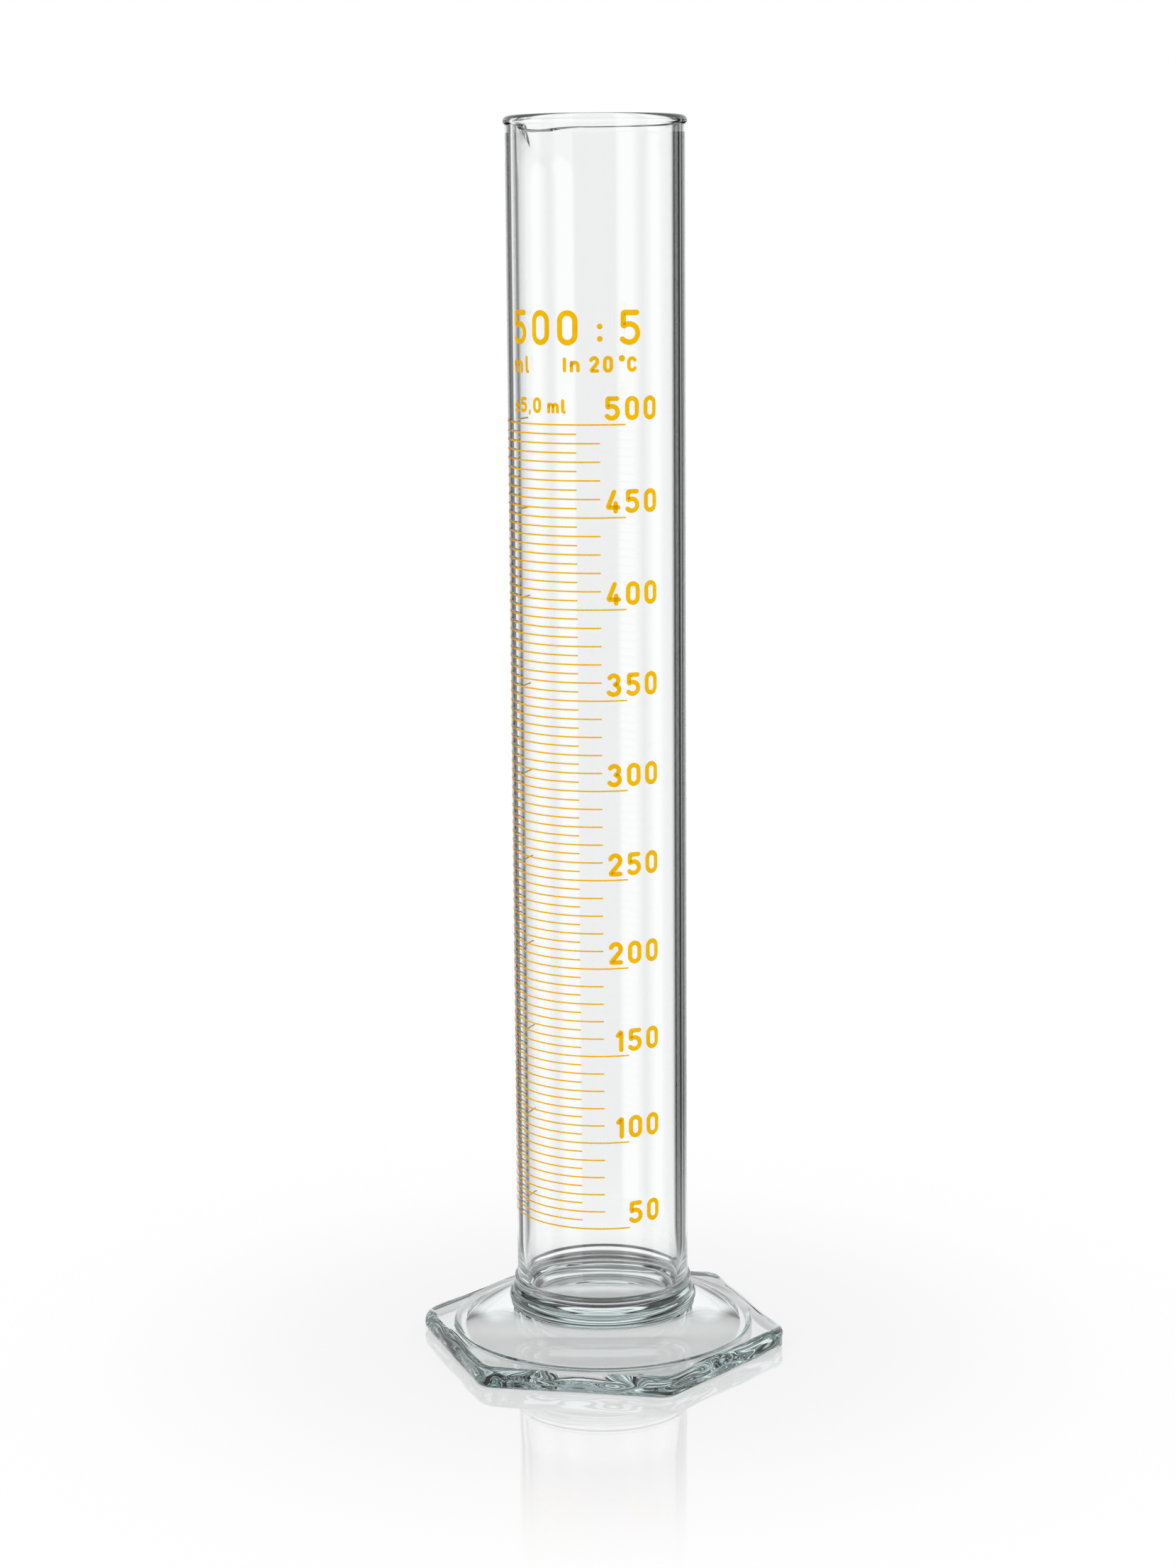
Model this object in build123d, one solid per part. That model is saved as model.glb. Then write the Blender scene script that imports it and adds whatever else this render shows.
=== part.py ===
from build123d import *

import os
from math import acos, cos, degrees, pi, radians, sin

# Graduated cylinder for 500 ml: one piece of glass on a hexagonal foot, with a fired
# enamel scale. Millimetres and millilitres, +Z up, origin at the middle of the foot's
# underside. -Y is the side from which the figures beside the scale are read.

# Capacity marks
CAPACITY_ML = 500
FIRST_LINE_ML = 50
LINE_STEP_ML = 5
MEDIUM_EVERY_ML = 10
LONG_EVERY_ML = 50

# Tube
TUBE_DIAMETER = 53.0
TUBE_WALL = 2.2
BORE_FLOOR_HEIGHT = 16.6
BORE_CORNER_RADIUS = 4.0
HEADSPACE = 88.6

# Fire-polished rim, a round bead that stands out from the tube
RIM_BEAD_DIAMETER = 3.0
RIM_BEAD_PROUD = 0.6

# Spout, pulled out of the rim about a quarter turn from the middle of the scale
SPOUT_HEIGHT = 17.0
SPOUT_REACH = 8.0
SPOUT_NOSE_RADIUS = 6.5
SPOUT_HALF_ANGLE = 30.0
SPOUT_MID_REACH_SHARE = 0.25
SPOUT_MID_NOSE_SHARE = 2.4
SPOUT_NOSE_SPLIT = 15.0
SPOUT_FROM_SCALE = -87.0

# Pressed foot, a hexagon with a round step and a shallow cone up to the collar
FOOT_ACROSS_FLATS = 101.0
FOOT_CORNER_RADIUS = 7.4
FOOT_CORNER_DIRECTION = -10.0
FOOT_PLATE = 6.2
FOOT_TOP_ROUND = 2.6
FOOT_BOTTOM_ROUND = 2.0
STEP_MARGIN = 4.3
STEP_HEIGHT = 1.0
STEP_ROUND = 0.5
HOLLOW_MARGIN = 8.5
HOLLOW_DEPTH = 8.0

# Collar where the tube is fused to the foot: a full bead, a short flare and a fine ring
COLLAR_PROUD = 2.55
COLLAR_BEAD_RADIUS = 2.35
COLLAR_BEAD_HEIGHT = 14.9
NECK_PROUD = 1.55
NECK_TOP_HEIGHT = 17.8
CONE_TOP_HEIGHT = 13.2
RING_PROUD = 0.9
RING_RADIUS = 0.95
RING_HEIGHT = 20.6

# Enamel scale lines, arcs about one middle line
SCALE_DIRECTION = 218.5
LINE_WIDTH = 0.5
ENAMEL_THICKNESS = 0.08
SHORT_HALF_SPAN = 38.5
MEDIUM_HALF_SPAN = 53.5
LONG_HALF_SPAN = 70.0

MM3_PER_ML = 1000

# Worked out from the sizes above
TUBE_RADIUS = TUBE_DIAMETER / 2
BORE_RADIUS = TUBE_RADIUS - TUBE_WALL
BORE_AREA = pi * BORE_RADIUS**2
CORNER_SECTION = (1 - pi / 4) * BORE_CORNER_RADIUS**2
CORNER_CENTROID = BORE_CORNER_RADIUS * (10 - 3 * pi) / (12 - 3 * pi)
CORNER_LOSS = CORNER_SECTION * 2 * pi * (BORE_RADIUS - CORNER_CENTROID)


def level_of(volume_ml):
    """Height above the bench of the liquid's surface for a volume in the bore."""
    return BORE_FLOOR_HEIGHT + (volume_ml * MM3_PER_ML + CORNER_LOSS) / BORE_AREA


RIM_HEIGHT = level_of(CAPACITY_ML) + HEADSPACE
LIP_HEIGHT = RIM_HEIGHT - RIM_BEAD_DIAMETER / 2
SPOUT_BASE_HEIGHT = LIP_HEIGHT - SPOUT_HEIGHT
SPOUT_DIRECTION = SCALE_DIRECTION + SPOUT_FROM_SCALE
STEP_RADIUS = FOOT_ACROSS_FLATS / 2 - STEP_MARGIN
HOLLOW_RADIUS = FOOT_ACROSS_FLATS / 2 - HOLLOW_MARGIN


def polar(radius, angle, height=0.0, centre=(0.0, 0.0)):
    """A point at an angle in degrees round a centre."""
    x = centre[0] + radius * cos(radians(angle))
    y = centre[1] + radius * sin(radians(angle))
    return (x, y, height)


def arc_between(centre, radius, start, end, height):
    """A circle's arc from one angle to another, in degrees, through the angle half way."""
    middle = (start + end) / 2
    ends = [polar(radius, angle, height, centre) for angle in (start, middle, end)]
    return Edge.make_three_point_arc(*ends)


def round_outline(radius, height):
    """A circle cut into the same four arcs as the spout's outline."""
    angles = [SPOUT_HALF_ANGLE, 360 - SPOUT_HALF_ANGLE, 360 - SPOUT_NOSE_SPLIT,
              360 + SPOUT_NOSE_SPLIT, 360 + SPOUT_HALF_ANGLE]
    arcs = [arc_between((0, 0), radius, a, b, height) for a, b in zip(angles, angles[1:])]
    return Wire(arcs)


def spout_outline(radius, reach, nose_radius, height):
    """A circle with a round nose towards +X, joined to it by two hollow arcs.

    The hollow arcs always leave the circle at SPOUT_HALF_ANGLE, and their radius follows."""
    nose_x = radius + reach - nose_radius
    along = nose_x * cos(radians(SPOUT_HALF_ANGLE))
    gap = radius**2 + nose_x**2 - 2 * radius * along - nose_radius**2
    hollow_radius = gap / (2 * (nose_radius + along - radius))
    hollow_centre = polar(radius + hollow_radius, SPOUT_HALF_ANGLE)
    nose_turn = degrees(acos((hollow_centre[0] - nose_x) / (nose_radius + hollow_radius)))
    upper = (hollow_centre[0], hollow_centre[1])
    lower = (hollow_centre[0], -hollow_centre[1])
    body = arc_between((0, 0), radius, SPOUT_HALF_ANGLE, 360 - SPOUT_HALF_ANGLE, height)
    into_nose = arc_between(lower, hollow_radius, 180 - SPOUT_HALF_ANGLE, 180 - nose_turn, height)
    nose = arc_between((nose_x, 0), nose_radius, -nose_turn, nose_turn, height)
    out_of_nose = arc_between(upper, hollow_radius, 180 + nose_turn, 180 + SPOUT_HALF_ANGLE, height)
    return Wire([body, into_nose, nose, out_of_nose])


def spout_form(inset):
    """The flaring top of the tube, drawn in by inset from its outer surface."""
    radius = TUBE_RADIUS - inset
    middle_nose = SPOUT_NOSE_RADIUS * SPOUT_MID_NOSE_SHARE
    middle_reach = SPOUT_REACH * SPOUT_MID_REACH_SHARE
    middle_height = (SPOUT_BASE_HEIGHT + LIP_HEIGHT) / 2
    sections = [
        round_outline(radius, SPOUT_BASE_HEIGHT),
        spout_outline(radius, middle_reach, middle_nose - inset, middle_height),
        spout_outline(radius, SPOUT_REACH, SPOUT_NOSE_RADIUS - inset, LIP_HEIGHT),
    ]
    return Solid.make_loft(sections)


def rim_bead():
    """The bead, swept round the lip and its spout."""
    bead_radius = RIM_BEAD_DIAMETER / 2
    inset = bead_radius - RIM_BEAD_PROUD
    path = spout_outline(TUBE_RADIUS - inset, SPOUT_REACH, SPOUT_NOSE_RADIUS - inset, LIP_HEIGHT)
    section = Plane(path @ 0, z_dir=path % 0) * Circle(bead_radius)
    return sweep(section, path=path)


def mouth_inside():
    """What the top of the tube holds inside: the spout's hollow, open upwards."""
    lip = Face(spout_outline(BORE_RADIUS, SPOUT_REACH, SPOUT_NOSE_RADIUS - TUBE_WALL, LIP_HEIGHT))
    return spout_form(TUBE_WALL) + extrude(lip, amount=RIM_BEAD_DIAMETER, dir=(0, 0, 1))


def bore_inside():
    """The straight bore with its rounded bottom, up to where the spout starts."""
    height = SPOUT_BASE_HEIGHT - BORE_FLOOR_HEIGHT
    bore = Pos(0, 0, BORE_FLOOR_HEIGHT) * Cylinder(
        BORE_RADIUS, height, align=(Align.CENTER, Align.CENTER, Align.MIN))
    floor_edge = bore.edges().sort_by(Axis.Z)[0]
    return fillet(floor_edge, BORE_CORNER_RADIUS)


def turned_outside():
    """The step, cone, collar and tube, turned from one half section."""
    neck = TUBE_RADIUS + NECK_PROUD
    ring_centre = TUBE_RADIUS + RING_PROUD - RING_RADIUS
    collar_centre = TUBE_RADIUS + COLLAR_PROUD - COLLAR_BEAD_RADIUS
    outline = Polyline(
        (0, FOOT_PLATE / 2),
        (STEP_RADIUS, FOOT_PLATE / 2),
        (STEP_RADIUS, FOOT_PLATE + STEP_HEIGHT),
        (collar_centre, CONE_TOP_HEIGHT),
        (collar_centre, COLLAR_BEAD_HEIGHT),
        (neck, COLLAR_BEAD_HEIGHT),
        (neck, NECK_TOP_HEIGHT),
        (TUBE_RADIUS, RING_HEIGHT + RING_RADIUS / 2),
        (TUBE_RADIUS, SPOUT_BASE_HEIGHT),
        (0, SPOUT_BASE_HEIGHT),
        close=True,
    )
    section = make_face(outline)
    section += Pos(collar_centre, COLLAR_BEAD_HEIGHT) * Circle(COLLAR_BEAD_RADIUS)
    section += Pos(ring_centre, RING_HEIGHT) * Circle(RING_RADIUS)
    step_corner = section.vertices().sort_by(Axis.X)[-2:].sort_by(Axis.Y)[-1]
    section = fillet(step_corner, STEP_ROUND)
    return revolve(Plane.XZ * section, axis=Axis.Z)


def foot_plate():
    """The hexagonal plate with its rounded corners and edges."""
    hexagon = RegularPolygon(FOOT_ACROSS_FLATS / 2, 6, major_radius=False,
                             rotation=FOOT_CORNER_DIRECTION)
    outline = fillet(hexagon.vertices(), FOOT_CORNER_RADIUS)
    plate = extrude(outline, amount=FOOT_PLATE)
    plate = fillet(plate.faces().sort_by(Axis.Z)[-1].edges(), FOOT_TOP_ROUND)
    return fillet(plate.faces().sort_by(Axis.Z)[0].edges(), FOOT_BOTTOM_ROUND)


def underside_hollow():
    """The hollow of the underside, a slice of a large ball that follows the cone above it."""
    ball_radius = (HOLLOW_RADIUS**2 + HOLLOW_DEPTH**2) / (2 * HOLLOW_DEPTH)
    return Pos(0, 0, HOLLOW_DEPTH - ball_radius) * Sphere(ball_radius)


def glass_body():
    """The whole glass piece."""
    top = Rot(0, 0, SPOUT_DIRECTION) * (spout_form(0) + rim_bead())
    inside = Rot(0, 0, SPOUT_DIRECTION) * mouth_inside()
    outside = foot_plate() + turned_outside() + top
    return outside - bore_inside() - inside - underside_hollow()


def scale_line(volume_ml):
    """One enamel line, an arc laid on the tube at its volume's level.

    Its section is a low ridge, as fired enamel is thickest in the middle of a stroke."""
    if volume_ml % LONG_EVERY_ML == 0:
        half_span = LONG_HALF_SPAN
    elif volume_ml % MEDIUM_EVERY_ML == 0:
        half_span = MEDIUM_HALF_SPAN
    else:
        half_span = SHORT_HALF_SPAN
    ridge = Polygon((0, -LINE_WIDTH / 2), (ENAMEL_THICKNESS, 0), (0, LINE_WIDTH / 2), align=None)
    section = Plane.XZ * (Pos(TUBE_RADIUS, level_of(volume_ml)) * ridge)
    arc = revolve(section, axis=Axis.Z, revolution_arc=2 * half_span)
    return Rot(0, 0, SCALE_DIRECTION - half_span) * arc


def scale_lines():
    """Every line of the scale, from the lowest to the full capacity."""
    volumes = range(FIRST_LINE_ML, CAPACITY_ML + 1, LINE_STEP_ML)
    return Compound(children=[scale_line(volume).solid() for volume in volumes])


os.makedirs("parts", exist_ok=True)
for node, shape in {"glass_body": glass_body(), "scale_lines": scale_lines()}.items():
    export_step(shape, f"parts/{node}.step")
    print(node, len(shape.solids()), "solids", round(shape.volume, 1), "mm3")
print("lines at", round(level_of(FIRST_LINE_ML), 2), "to", round(level_of(CAPACITY_ML), 2))
print("rim at", round(RIM_HEIGHT, 2))
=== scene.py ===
# %% [markdown]
# # A graduated cylinder of glass
#
# This file dresses a measured model of a 500 ml glass measuring cylinder. The solid model
# comes in as a fixed frame, and every piece made here keeps to the frame's places and
# sizes. Glass shows mostly what is behind and beside it, so the form, the material and the
# studio round it all matter equally.

# %% Load the frame and keep its size
from math import acos, atan2, cos, pi, radians, sin, sqrt

import bpy
from mathutils import Matrix, Vector


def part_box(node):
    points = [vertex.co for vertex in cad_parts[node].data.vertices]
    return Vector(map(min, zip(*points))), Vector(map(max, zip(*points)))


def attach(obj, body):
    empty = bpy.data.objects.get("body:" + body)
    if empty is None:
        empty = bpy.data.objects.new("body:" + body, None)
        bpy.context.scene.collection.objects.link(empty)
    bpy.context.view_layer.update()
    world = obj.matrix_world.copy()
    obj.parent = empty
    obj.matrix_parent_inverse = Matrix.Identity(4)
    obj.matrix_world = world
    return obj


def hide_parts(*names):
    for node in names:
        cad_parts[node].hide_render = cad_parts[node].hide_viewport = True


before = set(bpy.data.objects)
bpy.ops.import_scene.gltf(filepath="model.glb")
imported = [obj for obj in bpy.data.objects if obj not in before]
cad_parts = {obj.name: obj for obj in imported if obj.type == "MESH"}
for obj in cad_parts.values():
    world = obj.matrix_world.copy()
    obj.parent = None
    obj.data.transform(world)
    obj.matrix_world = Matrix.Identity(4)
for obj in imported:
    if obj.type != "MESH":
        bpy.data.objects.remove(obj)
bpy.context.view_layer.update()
body_low, body_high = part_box("glass_body")
lines_low, lines_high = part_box("scale_lines")
print("glass box", [round(v, 4) for v in body_low], [round(v, 4) for v in body_high])

# %% [markdown]
# ## Sizes
#
# The real object is described in millimetres, and Blender works in metres, so one factor
# turns one into the other. The heights of the rim and of the lines are read from the
# frame. The other sizes are those of the solid model, but for two that are added here: how
# widely the spout swells below its lip, as a share of its half angle, and how far it sags
# below the rim.

# %% The sizes of the glass
MM = 0.001

TUBE_RADIUS = 26.5
TUBE_WALL = 2.2
BORE_FLOOR_HEIGHT = 16.6
BORE_CORNER_RADIUS = 4.0
RIM_HEIGHT = body_high.z / MM
RIM_BEAD_RADIUS = 1.5
RIM_BEAD_PROUD = 0.6
LIP_HEIGHT = RIM_HEIGHT - RIM_BEAD_RADIUS

SPOUT_HEIGHT = 17.0
SPOUT_REACH = 8.0
SPOUT_NOSE_RADIUS = 6.5
SPOUT_SWELL = 1.15
SPOUT_HALF_ANGLE = radians(30.0)
SPOUT_DIRECTION = radians(131.5)
SPOUT_SAG = 1.2

FOOT_APOTHEM = 50.5
FOOT_CORNER_RADIUS = 7.4
FOOT_CORNER_DIRECTION = radians(-10.0)
FOOT_PLATE = 6.2
FOOT_TOP_ROUND = 2.6
FOOT_BOTTOM_ROUND = 2.0
STEP_RADIUS = 46.2
STEP_TOP = 7.2
HOLLOW_RADIUS = 42.0
HOLLOW_DEPTH = 8.0

COLLAR_RADIUS = 29.05
COLLAR_BEAD_RADIUS = 2.35
COLLAR_BEAD_HEIGHT = 14.9
NECK_RADIUS = 28.05
NECK_TOP_HEIGHT = 17.8
RING_OUTER_RADIUS = 27.4
RING_RADIUS = 0.95
RING_HEIGHT = 20.6

SCALE_DIRECTION = radians(218.5)

# %% [markdown]
# ## The camera
#
# The camera stands almost a metre in front of the tube, a little below its rim, and looks
# down at about ten degrees. Its place and lens were worked out from the scale lines, the
# tube's edges and the foot's outline, so the lines converge here as they do in the
# photograph.

# %% Place the camera
CAMERA_DISTANCE = 931.8
CAMERA_HEIGHT = 342.25
CAMERA_PITCH = radians(10.107)
CAMERA_YAW = radians(-0.212)
CAMERA_ROLL = radians(-0.435)
FOCAL_PIXELS = 4391.4
IMAGE_LONG_SIDE = 2212
SENSOR_WIDTH = 36.0


def make_camera():
    """A camera turned by yaw, pitch and roll, with its lens from the focal length in pixels."""
    forward = Vector((sin(CAMERA_YAW) * cos(CAMERA_PITCH), cos(CAMERA_YAW) * cos(CAMERA_PITCH),
                      -sin(CAMERA_PITCH)))
    level = Vector((cos(CAMERA_YAW), -sin(CAMERA_YAW), 0.0))
    upright = level.cross(forward)
    right = cos(CAMERA_ROLL) * level + sin(CAMERA_ROLL) * upright
    up = cos(CAMERA_ROLL) * upright - sin(CAMERA_ROLL) * level
    data = bpy.data.cameras.new("camera")
    data.sensor_width = SENSOR_WIDTH
    data.lens = FOCAL_PIXELS * SENSOR_WIDTH / IMAGE_LONG_SIDE
    data.clip_start = 0.05
    data.clip_end = 50.0
    camera = bpy.data.objects.new("camera", data)
    bpy.context.scene.collection.objects.link(camera)
    turn = Matrix((right, up, -forward)).transposed()
    camera.matrix_world = turn.to_4x4()
    camera.location = Vector((0.0, -CAMERA_DISTANCE, CAMERA_HEIGHT)) * MM
    bpy.context.scene.camera = camera
    return camera


camera = make_camera()
print("lens", round(camera.data.lens, 2), "mm")

# %% [markdown]
# ## The glass, ring by ring
#
# The glass is one closed skin. It starts at the middle of the foot's underside, runs out
# and over the foot, up the collar and the tube, over the rim, and down the bore to the
# middle of its floor. Each row of points is one ring round the axis, so every ring has the
# same number of points and the rows join into a clean grid with no seams.
#
# A ring isn't always round. The foot is a hexagon with rounded corners, and the rim runs
# out into a spout. Both can be written as a distance from the axis for each direction.

# %% Distances from the axis for a hexagon and for a spout
HEX_SECTOR = radians(60.0)


def hexagon_distance(angle, apothem, corner_radius):
    """Distance from the axis to a rounded hexagon's outline in one direction."""
    turn = (angle - FOOT_CORNER_DIRECTION + HEX_SECTOR / 2) % HEX_SECTOR - HEX_SECTOR / 2
    centre = (apothem - corner_radius) / cos(HEX_SECTOR / 2)
    tangent = atan2(corner_radius * sin(HEX_SECTOR / 2),
                    centre + corner_radius * cos(HEX_SECTOR / 2))
    if abs(turn) >= tangent:
        return apothem / cos(HEX_SECTOR / 2 - abs(turn))
    return centre * cos(turn) + sqrt(corner_radius**2 - (centre * sin(turn)) ** 2)


def spout_distance(turn, radius, reach, nose_radius):
    """Distance from the axis to a circle that runs out into a round nose at turn 0."""
    nose_x = radius + reach - nose_radius
    along = nose_x * cos(SPOUT_HALF_ANGLE)
    gap = radius**2 + nose_x**2 - 2 * radius * along - nose_radius**2
    hollow_radius = gap / (2 * (nose_radius + along - radius))
    hollow_far = radius + hollow_radius
    hollow_x = hollow_far * cos(SPOUT_HALF_ANGLE)
    nose_turn = acos((hollow_x - nose_x) / (nose_radius + hollow_radius))
    nose_end = atan2(nose_radius * sin(nose_turn), nose_x + nose_radius * cos(nose_turn))
    side = abs(turn)
    if side <= nose_end:
        return nose_x * cos(side) + sqrt(nose_radius**2 - (nose_x * sin(side)) ** 2)
    if side >= SPOUT_HALF_ANGLE:
        return radius
    off = SPOUT_HALF_ANGLE - side
    return hollow_far * cos(off) - sqrt(hollow_radius**2 - (hollow_far * sin(off)) ** 2)


# %% [markdown]
# ### The flare below the lip
#
# A glassworker softens the rim and pulls the spout out with a rod. Melted glass has no
# sharp flanks, so low down the flare is one soft, wide swell. Only near the top does it
# take the lip's own outline. The spout also sags a little below the level of the rim. A
# level from 0, the round tube, to 1, the lip, drives all three.

# %% Distances in the flare
def signed_turn(angle, middle):
    """The turn from a middle direction, between minus and plus half a circle."""
    return (angle - middle + pi) % (2 * pi) - pi


def mouth_distance(angle, level, inset):
    """Distance from the axis to the flare's surface in one direction, at one level."""
    turn = signed_turn(angle, SPOUT_DIRECTION)
    radius = TUBE_RADIUS - inset
    lip = spout_distance(turn, radius, SPOUT_REACH, SPOUT_NOSE_RADIUS - inset) - radius
    share = min(1.0, abs(turn) / (SPOUT_SWELL * SPOUT_HALF_ANGLE))
    swell = SPOUT_REACH * (1 + cos(pi * share)) / 2
    return radius + level**2 * (swell + (lip - swell) * level**3)


def lip_sag(angle, level):
    """How far the spout hangs below the rim's own level."""
    turn = signed_turn(angle, SPOUT_DIRECTION)
    reach = spout_distance(turn, TUBE_RADIUS, SPOUT_REACH, SPOUT_NOSE_RADIUS) - TUBE_RADIUS
    return SPOUT_SAG * level**2 * reach / SPOUT_REACH


# %% [markdown]
# ### Where the points go
#
# Evenly spaced points would be wasted on the flat sides and too few on the corners, where
# light bends most. So each ring has its own spacing: crowded at the corners of the foot,
# even on the tube, and crowded again at the spout. A share between 0 and 1 moves a ring
# from one spacing to the other, and as a turned surface looks the same wherever its points
# lie, nothing shows on the glass.

# %% The directions of a ring's points
RING_POINTS = 336
CORNER_CROWDING = 0.7
SPOUT_CROWDING = 0.6


def even_direction(index):
    """Direction of one of a ring's evenly spaced points."""
    return 2 * pi * index / RING_POINTS + FOOT_CORNER_DIRECTION


def corner_direction(index):
    """The same point moved towards the nearest corner of the foot."""
    off = even_direction(index) - FOOT_CORNER_DIRECTION
    turn = (off + HEX_SECTOR / 2) % HEX_SECTOR - HEX_SECTOR / 2
    share = turn / (HEX_SECTOR / 2)
    moved = (1 - CORNER_CROWDING) * share + CORNER_CROWDING * share**3
    return even_direction(index) - turn + moved * HEX_SECTOR / 2


def spout_direction(index):
    """The same point moved towards the spout."""
    turn = signed_turn(even_direction(index), SPOUT_DIRECTION)
    return even_direction(index) - SPOUT_CROWDING * sin(turn)


def directions(corner_share, spout_share):
    """Every direction of one ring, between the even spacing and the crowded ones."""
    found = []
    for index in range(RING_POINTS):
        even = even_direction(index)
        to_corner = corner_share * (corner_direction(index) - even)
        to_spout = spout_share * (spout_direction(index) - even)
        found.append(even + to_corner + to_spout)
    return found


# %% [markdown]
# ### Small helpers for a half section
#
# A half section is drawn as a list of steps: arcs and straight runs of (distance, height).
# The arcs take angles in degrees, with 0 pointing away from the axis and 90 up.

# %% Arcs and runs
def arc(centre, radius, start, end, steps):
    """Points along an arc of the half section, ends included."""
    points = []
    for step in range(steps + 1):
        angle = radians(start + (end - start) * step / steps)
        points.append((centre[0] + radius * cos(angle), centre[1] + radius * sin(angle)))
    return points


def run(start, end, steps):
    """Points along a straight run, without its two ends."""
    points = []
    for step in range(1, steps):
        share = step / steps
        points.append((start[0] + (end[0] - start[0]) * share,
                       start[1] + (end[1] - start[1]) * share))
    return points


def mix(a, b, share):
    """A value between a and b."""
    return a + (b - a) * share


def smooth_share(value):
    """A share from 0 to 1 that starts and stops gently."""
    held = min(1.0, max(0.0, value))
    return held * held * (3 - 2 * held)


# %% [markdown]
# ### The foot
#
# The foot was pressed in a mould. Its underside isn't seen in the photograph. It is made
# as a deep hollow, a slice of a large ball, because that gives the cone above it a smooth
# and pale look, and the foot then stands on a flat border. The edge is rounded below and
# above, and a low step marks the round pad that the tube is fused to.
#
# A pressed face is never quite flat: it keeps soft waves from the mould, and they make the
# dark and bright swirls in the foot's edge. Three sine waves round the foot are added up.
# Their strengths come to 2, and 2 is added to the sum, so the waves always lie inside the
# true form and never make it larger. They rise from nothing over the lowest part of the
# side, so the border that the foot stands on keeps its outline.

# %% The waves of a pressed face
FOOT_WAVE = 0.22
WAVE_MIDDLE = 2.0
WAVE_RISE = 1.5
# Each wave is (strength, count round the foot, drift with height, start).
PRESS_WAVES = [(0.6, 5, 0.0, 0.9), (1.0, 13, 0.7, 2.0), (0.4, 19, -0.9, 0.0)]


def press_wave(angle, height):
    """How far the soft waves of a pressed face lie inside its true form."""
    wave = 0.0
    for strength, count, drift, start in PRESS_WAVES:
        wave += strength * sin(count * angle + drift * height + start)
    return FOOT_WAVE * (WAVE_MIDDLE + wave)


print("waves up to", round(FOOT_WAVE * 2 * WAVE_MIDDLE, 2), "mm deep")

# %% [markdown]
# The rings of the foot run out along the hollow and its flat border, round the lower edge,
# up the side, round the upper edge and in again to the step. The points crowd towards the
# corners on the way out, and spread evenly again on the way in.

# %% Rings of the foot
HOLLOW_STEPS = 42
BORDER_STEPS = 5
PLATE_STEPS = 8
CROWDING_START = 0.6


def foot_rings():
    """Rings from the middle of the underside to the step, as lists of points."""
    rings = []
    ball_radius = (HOLLOW_RADIUS**2 + HOLLOW_DEPTH**2) / (2 * HOLLOW_DEPTH)
    for step in range(1, HOLLOW_STEPS + 1):
        distance = HOLLOW_RADIUS * step / HOLLOW_STEPS
        height = HOLLOW_DEPTH - ball_radius + sqrt(ball_radius**2 - distance**2)
        share = smooth_share((step / HOLLOW_STEPS - CROWDING_START) / (1 - CROWDING_START))
        rings.append([(angle, distance, height) for angle in directions(share, 0)])
    sides = directions(1, 0)
    for step in range(1, BORDER_STEPS):
        share = step / BORDER_STEPS
        ring = []
        for angle in sides:
            edge = hexagon_distance(angle, FOOT_APOTHEM - FOOT_BOTTOM_ROUND,
                                    FOOT_CORNER_RADIUS - FOOT_BOTTOM_ROUND)
            ring.append((angle, mix(HOLLOW_RADIUS, edge, share), 0.0))
        rings.append(ring)
    profile = arc((-FOOT_BOTTOM_ROUND, FOOT_BOTTOM_ROUND), FOOT_BOTTOM_ROUND, -90, 0, steps=9)
    top_start = FOOT_PLATE - FOOT_TOP_ROUND
    profile += run((0, FOOT_BOTTOM_ROUND), (0, top_start), steps=4)
    profile += arc((-FOOT_TOP_ROUND, top_start), FOOT_TOP_ROUND, 0, 90, steps=11)
    for offset, height in profile:
        ring = []
        for angle in sides:
            wave = press_wave(angle, height) * smooth_share(height / WAVE_RISE)
            distance = hexagon_distance(angle, FOOT_APOTHEM + offset,
                                        FOOT_CORNER_RADIUS + offset)
            ring.append((angle, distance - wave, height))
        rings.append(ring)
    for step in range(1, PLATE_STEPS):
        share = step / PLATE_STEPS
        ring = []
        for angle in directions(1 - smooth_share(share), 0):
            edge = hexagon_distance(angle, FOOT_APOTHEM - FOOT_TOP_ROUND,
                                    FOOT_CORNER_RADIUS - FOOT_TOP_ROUND)
            ring.append((angle, mix(edge, STEP_RADIUS, share), FOOT_PLATE))
        rings.append(ring)
    return rings


# %% [markdown]
# ### The collar and the tube
#
# From the step a shallow cone climbs to the collar, where tube and foot were melted
# together. The collar is a full bead with a short neck that flares in to a fine ring. The
# bead and the ring are arcs of the half section, and small arcs and points soften the
# places where one form meets the next, as melted glass does. Places are given as (distance
# from the axis, height), and the values named ARC are angles in degrees.

# %% The turned half section
STEP_ROUND = 0.5
STEP_ROUND_ARC = (0, 74)
STEP_FILLET = 0.4
CONE_END = (28.6, 12.75)
CONE_FILLET = 0.55
CONE_FILLET_CENTRE = (28.9, 13.25)
CONE_FILLET_ARC = (-108, -150)
COLLAR_ARC = (-28, 52)
# The neck's shoulder, as steps out from its radius and up from its top.
NECK_SHOULDER = [(0.0, -0.3), (-0.06, 0.0), (-0.25, 0.45)]
FLARE_TOWARDS = (27.3, 19.6)
RING_FOOT = (27.24, 19.85)
RING_ARC = (-25, 70)
RING_TAIL = (TUBE_RADIUS + 0.08, 21.8)
TUBE_START = (TUBE_RADIUS, 22.2)


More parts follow.
